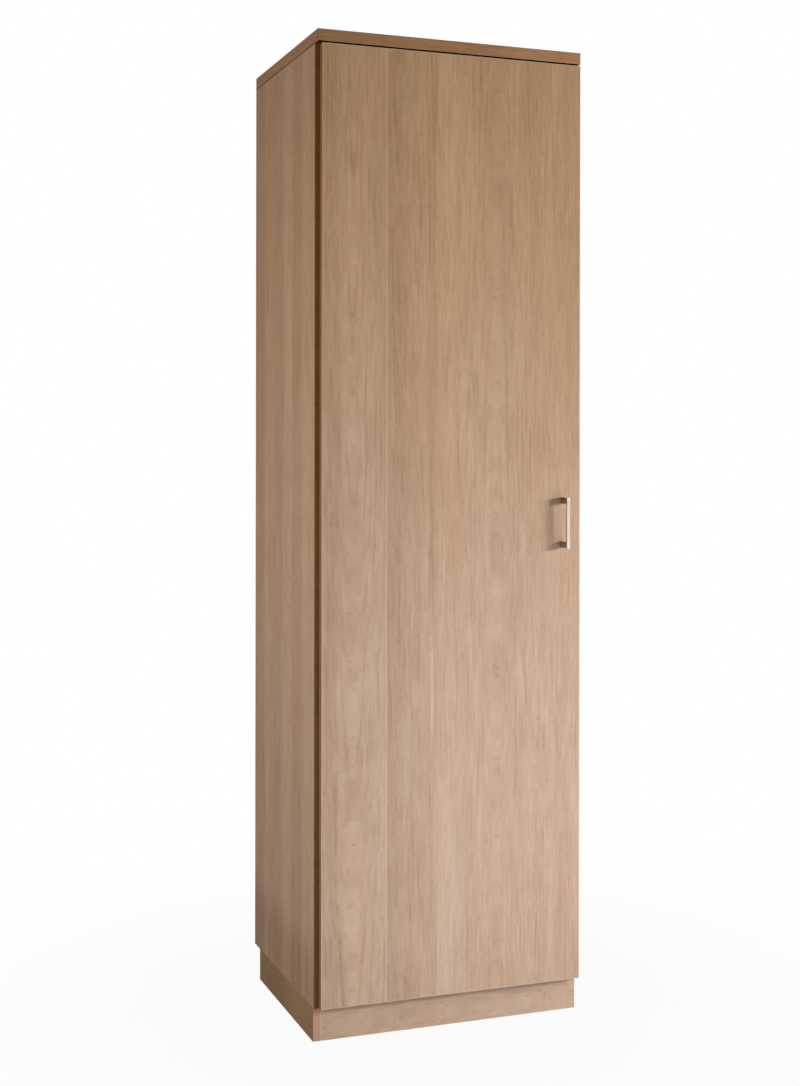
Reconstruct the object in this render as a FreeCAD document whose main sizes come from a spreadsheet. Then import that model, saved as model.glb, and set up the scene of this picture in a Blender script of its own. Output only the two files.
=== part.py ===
import FreeCAD, Part
import os

import Sketcher

# Broom cupboard: a tall carcass of laminated boards on a recessed plinth, with one
# full-height door on concealed cup hinges and a short D handle.
# Millimetres, +X to the right, +Y to the back, +Z up. The origin is on the floor, under
# the middle of the whole cupboard, handle included.

SIZES = [
    # overall
    ("width", 600, "across the front, over both side panels"),
    ("depth", 500, "from the door's face to the back edges"),
    ("height", 2100, "from the floor to the top"),
    # boards
    ("board", 16, "side, bottom, shelf and plinth boards"),
    ("top_board", 25, "top panel"),
    ("door_board", 18, "door"),
    ("back_board", 3, "back panel"),
    ("edge_band", 1, "band on the front edges of the carcass boards"),
    ("thick_band", 2, "band round the door and the top panel"),
    ("arris", 1, "rounding of the thick bands"),
    ("fine_arris", 0.5, "rounding of the thin bands and the plinth"),
    # door
    ("door_inset", 10, "from the cupboard's left face to the door's left edge"),
    ("door_gap", 2, "between the door's back and the carcass"),
    ("top_gap", 3, "between the door and the top panel"),
    ("door_lift", 2, "door's lower edge above the plinth"),
    # plinth
    ("plinth_height", 70, "floor to the carcass"),
    ("plinth_setback", 24, "plinth's face behind the door's face"),
    ("plinth_heel", 46, "plinth's rear end in front of the back edges"),
    ("block_leg", 28, "each side of a plinth corner block"),
    ("block_gap", 6, "left free above and below a plinth corner block"),
    # shelf and back
    ("shelf_rise", 1684, "floor to the shelf's underside"),
    ("shelf_setback", 20, "shelf's front edge behind the side panels' front edges"),
    ("back_inset", 10, "back panel's rear face in front of the back edges"),
    ("groove_depth", 6, "groove for the back panel"),
    ("groove_play", 0.2, "room on each side of the back panel in its groove"),
    # cam joints and dowels
    ("fitting_inset", 60, "cam joint from the front and the back of a side panel"),
    ("dowel_spacing", 32, "dowel from its cam joint"),
    ("cam_setback", 34, "cam's centre from the board's end"),
    ("cam_diameter", 15, "cam"),
    ("cam_depth", 12, "cam"),
    ("cam_slot", 7, "slot in the cam for the bolt's head"),
    ("bolt_seat", 11, "bolt's thread, in the face of the mating board"),
    ("bolt_thread", 5, "bolt's thread, diameter"),
    ("bolt_shaft", 6.4, "bolt's shaft, diameter"),
    ("bolt_neck", 4, "bolt's neck, diameter"),
    ("bolt_channel", 8, "channel for the bolt from the board's end to the cam"),
    ("dowel_diameter", 8, "dowel"),
    ("dowel_length", 30, "dowel"),
    ("dowel_seat", 10, "dowel's length in the face of the mating board"),
    ("fit_play", 0.1, "round a fitting in its hole"),
    # handle
    ("handle_centres", 96, "between the handle's screws"),
    ("handle_leg", 14, "leg, along the handle"),
    ("handle_width", 7, "leg and bar, across the door"),
    ("handle_bar", 6, "bar, front to back"),
    ("handle_reach", 33, "bar's front face from the door's face"),
    ("handle_inset", 43, "handle's middle from the door's right edge"),
    ("handle_corner", 1.5, "rounding of the handle's two outer corners"),
    ("handle_edge", 0.4, "rounding of the handle's long edges"),
    ("handle_screw", 4, "handle screw's thread, diameter"),
    ("handle_screw_bite", 14, "handle screw's length in the leg"),
    ("screw_play", 0.25, "round a handle screw in the door"),
    # hinges
    ("hinge_count", 4, "hinges along the door"),
    ("hinge_end", 100, "first and last hinge from the ends of the door"),
    ("cup_inset", 22.5, "cup's centre from the door's edge"),
    ("cup_diameter", 35, "cup"),
    ("cup_depth", 11.5, "cup, below the door's back"),
    ("cup_wall", 1, "cup's wall and floor"),
    ("flange", 1.2, "cup's flange, thickness"),
    ("flange_length", 58, "cup's flange, along the door"),
    ("flange_reach", 16, "cup's flange beyond the cup's centre"),
    ("flange_corner", 5, "rounding of the flange's corners"),
    ("flange_rim", 1, "cup's flange round the cup, beyond its wall"),
    ("cup_screw_spacing", 45, "between the two cup screws"),
    ("cup_screw_offset", 9.5, "cup screws beyond the cup's centre"),
    ("cup_screw_length", 12, "cup screw in the door"),
    ("cup_screw", 3.5, "cup screw's thread, diameter"),
    ("ear_height", 3.2, "ears that hold the outer pin, above the door's back"),
    ("ear_width", 5, "ears, across the door"),
    ("ear_thickness", 1.8, "ears, along the door"),
    # the four pivots with the door shut: x from the cup's axis, y from the door's back
    ("outer_arm_x", 12.94, "outer link's pivot on the arm"),
    ("outer_arm_y", 16.08, "outer link's pivot on the arm"),
    ("outer_cup_x", -12.99, "outer link's pivot in the cup"),
    ("outer_cup_y", 1.19, "outer link's pivot in the cup"),
    ("inner_arm_x", 11.7, "inner link's pivot on the arm"),
    ("inner_arm_y", -7.28, "inner link's pivot on the arm"),
    ("inner_cup_x", -6.53, "inner link's pivot in the cup"),
    ("inner_cup_y", -1.21, "inner link's pivot in the cup"),
    ("eye_shift_along", -0.75, "inner link's wide eye from its pin, along the link"),
    ("eye_shift_across", 1.34, "inner link's wide eye from its pin, across the link"),
    ("eye_bore", 4.8, "inner link's wide eye, which runs loose round its pin"),
    ("eye_wall", 0.7, "metal round the wide eye"),
    ("link_thickness", 4, "link, across its length, and its eyes"),
    ("link_width", 12, "link, along the pins"),
    ("pin", 2, "pivot pin, diameter"),
    ("loose_pin", 1.5, "inner link's pin in the cup, diameter"),
    ("pin_play", 0.05, "round a pin in a link"),
    ("link_play", 0.3, "between a link and the arm's cheeks"),
    ("cheek", 1.3, "arm's cheeks, thickness"),
    ("nose_radius", 2.2, "arm's nose round its pins"),
    ("arm_web", 1.5, "arm's web, thickness"),
    ("arm_height", 16, "arm's web above the side panel"),
    ("arm_clearance", 3, "arm's cheeks above the side panel"),
    ("arm_length", 66, "arm's rear end behind the side panel's front edge"),
    ("arm_shoulder", 36, "where the arm turns parallel to the side panel"),
    ("arm_slope", 6, "arm's nose runs on past its upper pin"),
    ("plate_inset", 37, "plate's screws behind the side panel's front edge"),
    ("plate_screw_spacing", 32, "between the two plate screws"),
    ("plate_thickness", 2, "plate's wings"),
    ("plate_length", 46, "plate, along the side panel's height"),
    ("plate_width", 12, "plate's wings, front to back"),
    ("rail_front", 30, "plate's rail starts behind the side panel's front edge"),
    ("rail_play", 0.2, "between the plate's rail and the arm"),
    ("plate_screw", 6, "plate screw's thread, diameter"),
    ("plate_screw_length", 11, "plate screw in the side panel"),
    ("arm_screw", 5, "arm screw, diameter"),
    ("arm_screw_length", 8, "arm screw in the plate's rail"),
    ("arm_screw_spacing", 14, "between the clamp screw and the adjusting screw"),
    ("screw_head", 8, "screw heads, diameter"),
    ("screw_head_height", 1.6, "screw heads"),
    ("screw_crown", 5, "flat middle of the screw heads, diameter"),
    ("screw_cross", 4.6, "cross slot in the screw heads, end to end"),
    ("screw_cross_depth", 1.2, "cross slot in the screw heads"),
    # bumpers
    ("bumper_diameter", 8, "soft bumper"),
    ("bumper_height", 1.8, "soft bumper"),
    ("bumper_end", 60, "bumper from the ends of the side panel"),
]

doc = FreeCAD.newDocument("broom_cupboard")
sheet = doc.addObject("Spreadsheet::Sheet", "Sizes")
for row, (alias, value, meaning) in enumerate(SIZES, start=1):
    sheet.set(f"A{row}", alias)
    sheet.set(f"B{row}", str(value))
    sheet.set(f"C{row}", meaning)
    sheet.setAlias(f"B{row}", alias)
doc.recompute()

# Places in the cupboard's frame, each worked out from the sheet.
LEFT = "(-Sizes.width / 2)"
RIGHT = "(Sizes.width / 2)"
INNER_LEFT = f"({LEFT} + Sizes.board)"
INNER_RIGHT = f"({RIGHT} - Sizes.board)"
DOOR_FACE = "((Sizes.handle_reach - Sizes.depth) / 2)"
DOOR_BACK = f"({DOOR_FACE} + Sizes.door_board)"
FRONT = f"({DOOR_BACK} + Sizes.door_gap)"
CORE_FRONT = f"({FRONT} + Sizes.edge_band)"
REAR = f"({DOOR_FACE} + Sizes.depth)"
BACK_PANEL_REAR = f"({REAR} - Sizes.back_inset)"
BACK_PANEL_FRONT = f"({BACK_PANEL_REAR} - Sizes.back_board)"
PLINTH_FACE = f"({DOOR_FACE} + Sizes.plinth_setback)"
PLINTH_REAR = f"({REAR} - Sizes.plinth_heel)"
FLOOR = "0"
PLINTH_TOP = "Sizes.plinth_height"
BOTTOM_TOP = "(Sizes.plinth_height + Sizes.board)"
SHELF_UNDER = "Sizes.shelf_rise"
SHELF_TOP = "(Sizes.shelf_rise + Sizes.board)"
SHELF_FRONT = f"({FRONT} + Sizes.shelf_setback)"
SHELF_CORE_FRONT = f"({SHELF_FRONT} + Sizes.edge_band)"
TOP = "Sizes.height"
TOP_UNDER = "(Sizes.height - Sizes.top_board)"
DOOR_LEFT = f"({LEFT} + Sizes.door_inset)"
DOOR_LOW = "(Sizes.plinth_height + Sizes.door_lift)"
DOOR_HIGH = f"({TOP_UNDER} - Sizes.top_gap)"
HANDLE_X = f"({RIGHT} - Sizes.handle_inset)"
HANDLE_Z = f"(({DOOR_LOW} + {DOOR_HIGH}) / 2)"
CUP_X = f"({DOOR_LEFT} + Sizes.cup_inset)"

# Cam joints and dowels stand at the same four depths in every board that they join.
CAM_Y = (f"({FRONT} + Sizes.fitting_inset)", f"({REAR} - Sizes.fitting_inset)")
DOWEL_Y = (f"({CAM_Y[0]} + Sizes.dowel_spacing)", f"({CAM_Y[1]} - Sizes.dowel_spacing)")

# For each origin plane: the two axes along it, then the axis across it.
PLANES = {"XY_Plane": "xyz", "XZ_Plane": "xzy", "YZ_Plane": "yzx"}
UP = FreeCAD.Vector(0, 0, 1)
DIRECTIONS = {
    "+x": FreeCAD.Vector(1, 0, 0),
    "-x": FreeCAD.Vector(-1, 0, 0),
    "+y": FreeCAD.Vector(0, 1, 0),
    "-y": FreeCAD.Vector(0, -1, 0),
    "+z": FreeCAD.Vector(0, 0, 1),
    "-z": FreeCAD.Vector(0, 0, -1),
}
LEAST_CUT = 0.01  # mm3, what any cut has to remove
NEAR = 1e-3  # mm, within which an edge lies on a face of its piece

measured_from = {}
nodes = []


def number(expression):
    """The present value of an expression on the sheet."""
    return float(sheet.evalExpression(expression))


def axes_of(plane):
    """The places of a plane's axes among x, y and z: two along it, then the one across it."""
    return ["xyz".index(axis) for axis in PLANES[plane]]


def facing(plane):
    """The way a plane faces along the axis across it."""
    return -1 if plane == "XZ_Plane" else 1


def new_body(name, place, own_frame=False):
    """An empty body. Its sketches are measured in the cupboard's frame, or in its own."""
    body = doc.addObject("PartDesign::Body", name)
    body.Label = name
    for axis, where in zip("xyz", place):
        body.setExpression(f"Placement.Base.{axis}", where)
    measured_from[name] = ("0", "0", "0") if own_frame else place
    return body


def tie(sketch, kind, geometry, point, expression):
    """Bind one distance of a sketch to an expression."""
    value = number(expression)
    if point is None:
        constraint = Sketcher.Constraint(kind, geometry, value)
    else:
        constraint = Sketcher.Constraint(kind, geometry, point, value)
    index = sketch.addConstraint(constraint)
    sketch.setExpression(f"Constraints[{index}]", expression)


def new_sketch(body, name, plane, at):
    """An empty sketch on one of the body's own planes, moved to `at` across it."""
    sketch = body.newObject("Sketcher::SketchObject", f"{body.Name}_{name}_sketch")
    support = next(item for item in body.Origin.OriginFeatures if item.Role == plane)
    sketch.AttachmentSupport = [(support, "")]
    sketch.MapMode = "FlatFace"
    start = measured_from[body.Name][axes_of(plane)[2]]
    sketch.setExpression("AttachmentOffset.Base.z", f"{facing(plane)} * (({at}) - {start})")
    return sketch


def draw(body, name, plane, at, outlines=(), circles=()):
    """A sketch of closed outlines, given by their corners, and of (centre, diameter) circles."""
    sketch = new_sketch(body, name, plane, at)
    first, second, _ = (measured_from[body.Name][axis] for axis in axes_of(plane))
    for corners in outlines:
        local = [(f"({u}) - {first}", f"({v}) - {second}") for u, v in corners]
        points = [FreeCAD.Vector(number(u), number(v), 0) for u, v in local]
        ends = points[1:] + points[:1]
        lines = [sketch.addGeometry(Part.LineSegment(*pair)) for pair in zip(points, ends)]
        for line, (u, v) in zip(lines, local):
            tie(sketch, "DistanceX", line, 1, u)
            tie(sketch, "DistanceY", line, 1, v)
        for line, following in zip(lines, lines[1:] + lines[:1]):
            sketch.addConstraint(Sketcher.Constraint("Coincident", line, 2, following, 1))
    for (u, v), diameter in circles:
        u, v = f"({u}) - {first}", f"({v}) - {second}"
        centre = FreeCAD.Vector(number(u), number(v), 0)
        circle = sketch.addGeometry(Part.Circle(centre, UP, number(diameter) / 2))
        tie(sketch, "DistanceX", circle, 3, u)
        tie(sketch, "DistanceY", circle, 3, v)
        tie(sketch, "Diameter", circle, None, diameter)
    return sketch


def pad(body, name, plane, at, towards, length, outlines=(), circles=()):
    """Grow the body from `at`, towards +1 or -1 along the axis across the plane."""
    sketch = draw(body, name, plane, at, outlines, circles)
    feature = body.newObject("PartDesign::Pad", f"{body.Name}_{name}")
    feature.Profile = sketch
    feature.Reversed = towards != facing(plane)
    feature.setExpression("Length", length)
    doc.recompute([body])
    return feature


def pocket(body, name, plane, at, towards, depth, outlines=(), circles=()):
    """Cut the body from `at`, towards +1 or -1 along the axis across the plane."""
    before = body.Shape.Volume
    sketch = draw(body, name, plane, at, outlines, circles)
    feature = body.newObject("PartDesign::Pocket", f"{body.Name}_{name}")
    feature.Profile = sketch
    feature.Reversed = towards == facing(plane)
    feature.setExpression("Length", depth)
    doc.recompute([body])
    if before - body.Shape.Volume < LEAST_CUT:
        raise RuntimeError(f"{feature.Name} cuts nothing")
    return feature


def rectangle(low, high):
    """The four corners of a rectangle between two opposite corners."""
    return [low, (high[0], low[1]), high, (low[0], high[1])]


def round_edges(body, name, radius, wanted):
    """Fillet the edges whose box satisfies `wanted`, in the body's own frame."""
    base = body.Tip
    edges = enumerate(base.Shape.Edges, start=1)
    chosen = [f"Edge{index}" for index, edge in edges if wanted(edge.BoundBox)]
    fillet = body.newObject("PartDesign::Fillet", f"{body.Name}_{name}")
    fillet.Base = (base, chosen)
    fillet.setExpression("Radius", radius)
    doc.recompute([body])


def turned(name, profile):
    """A turned piece about its own Z axis, from the corners (radius, height) of its half section."""
    body = new_body(name, ("0", "0", "0"), own_frame=True)
    sketch = draw(body, "section", "XZ_Plane", "0", [profile])
    feature = body.newObject("PartDesign::Revolution", f"{name}_turned")
    feature.Profile = sketch
    feature.ReferenceAxis = (sketch, ["V_Axis"])
    doc.recompute([body])
    return body


def copy_of(template, name, place, rotation):
    """One more of a fitting, at a place and turned as stated."""
    link = doc.addObject("App::Link", name)
    link.LinkedObject = template
    link.Placement = FreeCAD.Placement(FreeCAD.Vector(), rotation)
    for axis, where in zip("xyz", place):
        link.setExpression(f"Placement.Base.{axis}", where)
    return link


def along(direction):
    """The turn that points a turned piece's axis along +x, -x, +y, -y, +z or -z."""
    return FreeCAD.Rotation(UP, DIRECTIONS[direction])


def group(name, members):
    """A node of several separate, identical pieces."""
    compound = doc.addObject("Part::Compound", name)
    compound.Label = name
    compound.Links = members
    nodes.append(compound)


def board(name, low, high, plane):
    """A sawn board between two opposite corners, sketched on its face and padded."""
    body = new_body(name, low)
    u, v, across = axes_of(plane)
    face = rectangle((low[u], low[v]), (high[u], high[v]))
    thickness = f"{high[across]} - {low[across]}"
    pad(body, "board", plane, low[across], 1, thickness, [face])
    nodes.append(body)
    return body


# ---------------------------------------------------------------- carcass

GROOVE_FRONT = f"({BACK_PANEL_FRONT} - Sizes.groove_play)"
GROOVE_REAR = f"({BACK_PANEL_REAR} + Sizes.groove_play)"
MIDDLE = "Sizes.board / 2"
CAM_HOLE = "Sizes.cam_diameter + 2 * Sizes.fit_play"
CAM_HOLE_DEPTH = "Sizes.cam_depth + Sizes.fit_play"
THREAD_HOLE = "Sizes.bolt_thread + 2 * Sizes.fit_play"
THREAD_HOLE_DEPTH = "Sizes.bolt_seat + Sizes.fit_play"
DOWEL_HOLE = "Sizes.dowel_diameter + 2 * Sizes.fit_play"
DOWEL_FACE_DEPTH = "Sizes.dowel_seat + Sizes.fit_play"
DOWEL_END_DEPTH = "Sizes.dowel_length - Sizes.dowel_seat + Sizes.fit_play"
LEVELS = (f"({PLINTH_TOP} + {MIDDLE})", f"({SHELF_UNDER} + {MIDDLE})")


def side_panel(name, low_x, inner_x, inwards):
    """A side panel: groove, bored face for the bottom and the shelf, bored end for the top."""
    high_x = f"({low_x} + Sizes.board)"
    panel = board(name, (low_x, CORE_FRONT, PLINTH_TOP), (high_x, REAR, TOP_UNDER), "YZ_Plane")
    groove = rectangle((GROOVE_FRONT, PLINTH_TOP), (GROOVE_REAR, TOP_UNDER))
    pocket(panel, "groove", "YZ_Plane", inner_x, -inwards, "Sizes.groove_depth", [groove])
    threads = [((y, z), THREAD_HOLE) for y in CAM_Y for z in LEVELS]
    pocket(panel, "bolts", "YZ_Plane", inner_x, -inwards, THREAD_HOLE_DEPTH, circles=threads)
    dowels = [((y, z), DOWEL_HOLE) for y in DOWEL_Y for z in LEVELS]
    pocket(panel, "dowels", "YZ_Plane", inner_x, -inwards, DOWEL_FACE_DEPTH, circles=dowels)
    cam_z = f"{TOP_UNDER} - Sizes.cam_setback"
    cams = [((y, cam_z), CAM_HOLE) for y in CAM_Y]
    pocket(panel, "cams", "YZ_Plane", inner_x, -inwards, CAM_HOLE_DEPTH, circles=cams)
    middle_x = f"{low_x} + {MIDDLE}"
    channels = [((middle_x, y), "Sizes.bolt_channel") for y in CAM_Y]
    pocket(panel, "channels", "XY_Plane", TOP_UNDER, -1, "Sizes.cam_setback", circles=channels)
    ends = [((middle_x, y), DOWEL_HOLE) for y in DOWEL_Y]
    pocket(panel, "end_dowels", "XY_Plane", TOP_UNDER, -1, DOWEL_END_DEPTH, circles=ends)
    return panel


def cross_board(name, low, high):
    """A board between the side panels, bored from below for its cams and in both ends."""
    cross = board(name, low, high, "XY_Plane")
    middle_z = f"{low[2]} + {MIDDLE}"
    cams = []
    for end_x, inwards in ((INNER_LEFT, "+"), (INNER_RIGHT, "-")):
        cams += [((f"{end_x} {inwards} Sizes.cam_setback", y), CAM_HOLE) for y in CAM_Y]
    pocket(cross, "cams", "XY_Plane", low[2], 1, CAM_HOLE_DEPTH, circles=cams)
    channels = [((y, middle_z), "Sizes.bolt_channel") for y in CAM_Y]
    dowels = [((y, middle_z), DOWEL_HOLE) for y in DOWEL_Y]
    for side, end_x, towards in (("left", INNER_LEFT, 1), ("right", INNER_RIGHT, -1)):
        reach = "Sizes.cam_setback"
        pocket(cross, f"{side}_channels", "YZ_Plane", end_x, towards, reach, circles=channels)
        pocket(cross, f"{side}_dowels", "YZ_Plane", end_x, towards, DOWEL_END_DEPTH, circles=dowels)
    return cross


left_panel = side_panel("side_panel_left", LEFT, INNER_LEFT, 1)
side_panel("side_panel_right", INNER_RIGHT, INNER_RIGHT, -1)
bottom = cross_board(
    "bottom_panel", (INNER_LEFT, CORE_FRONT, PLINTH_TOP), (INNER_RIGHT, REAR, BOTTOM_TOP)
)
bottom_groove = rectangle((INNER_LEFT, GROOVE_FRONT), (INNER_RIGHT, GROOVE_REAR))
pocket(bottom, "groove", "XY_Plane", BOTTOM_TOP, -1, "Sizes.groove_depth", [bottom_groove])
cross_board(
    "shelf",
    (INNER_LEFT, SHELF_CORE_FRONT, SHELF_UNDER),
    (INNER_RIGHT, f"({BACK_PANEL_FRONT} - Sizes.groove_play)", SHELF_TOP),
)

top = board(
    "top_panel",
    (f"({LEFT} + Sizes.thick_band)", f"({DOOR_FACE} + Sizes.thick_band)", TOP_UNDER),
    (f"({RIGHT} - Sizes.thick_band)", REAR, TOP),
    "XY_Plane",
)
groove_ends = (f"{INNER_LEFT} - Sizes.groove_depth", f"{INNER_RIGHT} + Sizes.groove_depth")
top_groove = rectangle((groove_ends[0], GROOVE_FRONT), (groove_ends[1], GROOVE_REAR))
pocket(top, "groove", "XY_Plane", TOP_UNDER, 1, "Sizes.groove_depth", [top_groove])
SIDE_MIDDLES = (f"({LEFT} + {MIDDLE})", f"({RIGHT} - {MIDDLE})")
top_threads = [((x, y), THREAD_HOLE) for x in SIDE_MIDDLES for y in CAM_Y]
pocket(top, "bolts", "XY_Plane", TOP_UNDER, 1, THREAD_HOLE_DEPTH, circles=top_threads)
top_dowels = [((x, y), DOWEL_HOLE) for x in SIDE_MIDDLES for y in DOWEL_Y]
pocket(top, "dowels", "XY_Plane", TOP_UNDER, 1, DOWEL_FACE_DEPTH, circles=top_dowels)

BITE = "(Sizes.groove_depth - Sizes.groove_play)"
board(
    "back_panel",
    (f"({INNER_LEFT} - {BITE})", BACK_PANEL_FRONT, f"({BOTTOM_TOP} - {BITE})"),
    (f"({INNER_RIGHT} + {BITE})", BACK_PANEL_REAR, f"({TOP_UNDER} + {BITE})"),
    "XZ_Plane",
)

# ---------------------------------------------------------------- plinth

for side, low_x, high_x in (("left", LEFT, INNER_LEFT), ("right", INNER_RIGHT, RIGHT)):
    low = (low_x, PLINTH_FACE, FLOOR)
    plinth_side = board(f"plinth_side_{side}", low, (high_x, PLINTH_REAR, PLINTH_TOP), "YZ_Plane")
    round_edges(plinth_side, "arris", "Sizes.fine_arris", lambda box: box.YMax < NEAR)
PLINTH_INNER_FRONT = f"({PLINTH_FACE} + Sizes.board)"
PLINTH_INNER_REAR = f"({PLINTH_REAR} - Sizes.board)"
board(
    "plinth_front",
    (INNER_LEFT, PLINTH_FACE, FLOOR),
    (INNER_RIGHT, PLINTH_INNER_FRONT, PLINTH_TOP),
    "XZ_Plane",
)
board(
    "plinth_rear",
    (INNER_LEFT, PLINTH_INNER_REAR, FLOOR),
    (INNER_RIGHT, PLINTH_REAR, PLINTH_TOP),
    "XZ_Plane",
)

# A glued three-cornered block stiffens each inner corner of the plinth.
block = new_body("plinth_block", ("0", "0", "0"), own_frame=True)
triangle = [("0", "0"), ("Sizes.block_leg", "0"), ("0", "Sizes.block_leg")]
block_height = "Sizes.plinth_height - 2 * Sizes.block_gap"
pad(block, "prism", "XY_Plane", "Sizes.block_gap", 1, block_height, [triangle])
block_corners = (
    (INNER_LEFT, PLINTH_INNER_FRONT),
    (INNER_RIGHT, PLINTH_INNER_FRONT),
    (INNER_RIGHT, PLINTH_INNER_REAR),
    (INNER_LEFT, PLINTH_INNER_REAR),
)
blocks = []
for index, (x, y) in enumerate(block_corners):
    turn = FreeCAD.Rotation(UP, 90 * index)
    blocks.append(copy_of(block, f"plinth_block_{index}", (x, y, FLOOR), turn))
group("plinth_blocks", blocks)

# ---------------------------------------------------------------- edge bands


def band(name, low, high, plane, radius, outer):
    """A strip of edge band, rounded where `outer` holds for an edge's box and the strip's size."""
    strip = board(name, low, high, plane)
    size = FreeCAD.Vector(*(number(f"({far}) - ({near})") for far, near in zip(high, low)))
    round_edges(strip, "arris", radius, lambda box: outer(box, size))


for side, low_x, high_x in (("left", LEFT, INNER_LEFT), ("right", INNER_RIGHT, RIGHT)):
    band(
        f"side_band_{side}",
        (low_x, FRONT, PLINTH_TOP),
        (high_x, CORE_FRONT, TOP_UNDER),
        "XZ_Plane",
        "Sizes.fine_arris",
        lambda box, size: box.YMax < NEAR < box.ZLength,
    )
band(
    "bottom_band",
    (INNER_LEFT, FRONT, PLINTH_TOP),
    (INNER_RIGHT, CORE_FRONT, BOTTOM_TOP),
    "XZ_Plane",
    "Sizes.fine_arris",
    lambda box, size: box.YMax < NEAR < box.XLength,
)
band(
    "shelf_band",
    (INNER_LEFT, SHELF_FRONT, SHELF_UNDER),
    (INNER_RIGHT, SHELF_CORE_FRONT, SHELF_TOP),
    "XZ_Plane",
    "Sizes.fine_arris",
    lambda box, size: box.YMax < NEAR < box.XLength,
)

TOP_CORE_LEFT = f"({LEFT} + Sizes.thick_band)"
TOP_CORE_RIGHT = f"({RIGHT} - Sizes.thick_band)"
TOP_CORE_FRONT = f"({DOOR_FACE} + Sizes.thick_band)"
band(
    "top_band_front",
    (LEFT, DOOR_FACE, TOP_UNDER),
    (RIGHT, TOP_CORE_FRONT, TOP),
    "XZ_Plane",
    "Sizes.arris",
    lambda box, size: box.YMin < size.y - NEAR,
)
band(
    "top_band_left",
    (LEFT, TOP_CORE_FRONT, TOP_UNDER),
    (TOP_CORE_LEFT, REAR, TOP),
    "YZ_Plane",
    "Sizes.arris",
    lambda box, size: box.XMax < NEAR < box.YLength,
)
band(
    "top_band_right",
    (TOP_CORE_RIGHT, TOP_CORE_FRONT, TOP_UNDER),
    (RIGHT, REAR, TOP),
    "YZ_Plane",
    "Sizes.arris",
    lambda box, size: box.XMin > size.x - NEAR and box.YLength > NEAR,
)

# ---------------------------------------------------------------- door

DOOR_CORE_LEFT = f"({DOOR_LEFT} + Sizes.thick_band)"
DOOR_CORE_RIGHT = f"({RIGHT} - Sizes.thick_band)"
DOOR_CORE_LOW = f"({DOOR_LOW} + Sizes.thick_band)"
DOOR_CORE_HIGH = f"({DOOR_HIGH} - Sizes.thick_band)"
hinge_count = int(number("Sizes.hinge_count"))
HINGE_STEP = f"(({DOOR_HIGH} - {DOOR_LOW} - 2 * Sizes.hinge_end) / (Sizes.hinge_count - 1))"
HINGE_Z = [f"({DOOR_LOW} + Sizes.hinge_end + {k} * {HINGE_STEP})" for k in range(hinge_count)]
HANDLE_SCREW_Z = (
    f"({HANDLE_Z} - Sizes.handle_centres / 2)",
    f"({HANDLE_Z} + Sizes.handle_centres / 2)",
)
CUP_SCREW_X = f"({CUP_X} + Sizes.cup_screw_offset)"

door = board(
    "door_panel",
    (DOOR_CORE_LEFT, DOOR_FACE, DOOR_CORE_LOW),
    (DOOR_CORE_RIGHT, DOOR_BACK, DOOR_CORE_HIGH),
    "XZ_Plane",
)
cup_bores = [((CUP_X, z), "Sizes.cup_diameter + 2 * Sizes.fit_play") for z in HINGE_Z]
CUP_BORE_DEPTH = "Sizes.cup_depth + Sizes.fit_play"
pocket(door, "cups", "XZ_Plane", DOOR_BACK, -1, CUP_BORE_DEPTH, circles=cup_bores)
pilot_holes = []
for z in HINGE_Z:
    for sign in "+-":
        centre = (CUP_SCREW_X, f"{z} {sign} Sizes.cup_screw_spacing / 2")
        pilot_holes.append((centre, "Sizes.cup_screw + 2 * Sizes.fit_play"))
PILOT_DEPTH = "Sizes.cup_screw_length + Sizes.fit_play"
pocket(door, "pilots", "XZ_Plane", DOOR_BACK, -1, PILOT_DEPTH, circles=pilot_holes)
handle_holes = [
    ((HANDLE_X, z), "Sizes.handle_screw + 2 * Sizes.screw_play") for z in HANDLE_SCREW_Z
]
pocket(door, "handle_holes", "XZ_Plane", DOOR_BACK, -1, "Sizes.door_board", circles=handle_holes)

# The upright bands run the full height, and the level ones lie between them.
door_bands = (
    ("left", (DOOR_LEFT, DOOR_LOW), (DOOR_CORE_LEFT, DOOR_HIGH)),
    ("right", (DOOR_CORE_RIGHT, DOOR_LOW), (RIGHT, DOOR_HIGH)),
    ("low", (DOOR_CORE_LEFT, DOOR_LOW), (DOOR_CORE_RIGHT, DOOR_CORE_LOW)),
    ("high", (DOOR_CORE_LEFT, DOOR_CORE_HIGH), (DOOR_CORE_RIGHT, DOOR_HIGH)),
)
outer_edges = {
    "left": lambda box, size: box.XMin < size.x - NEAR,
    "right": lambda box, size: box.XMax > NEAR,
    "low": lambda box, size: box.ZMax < NEAR < box.XLength,
    "high": lambda box, size: box.ZMin > size.z - NEAR and box.XLength > NEAR,
}
for side, (low_x, low_z), (high_x, high_z) in door_bands:
    low, high = (low_x, DOOR_FACE, low_z), (high_x, DOOR_BACK, high_z)
    plane = "YZ_Plane" if side in ("left", "right") else "XY_Plane"
    band(f"door_band_{side}", low, high, plane, "Sizes.arris", outer_edges[side])

# ---------------------------------------------------------------- handle

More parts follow.
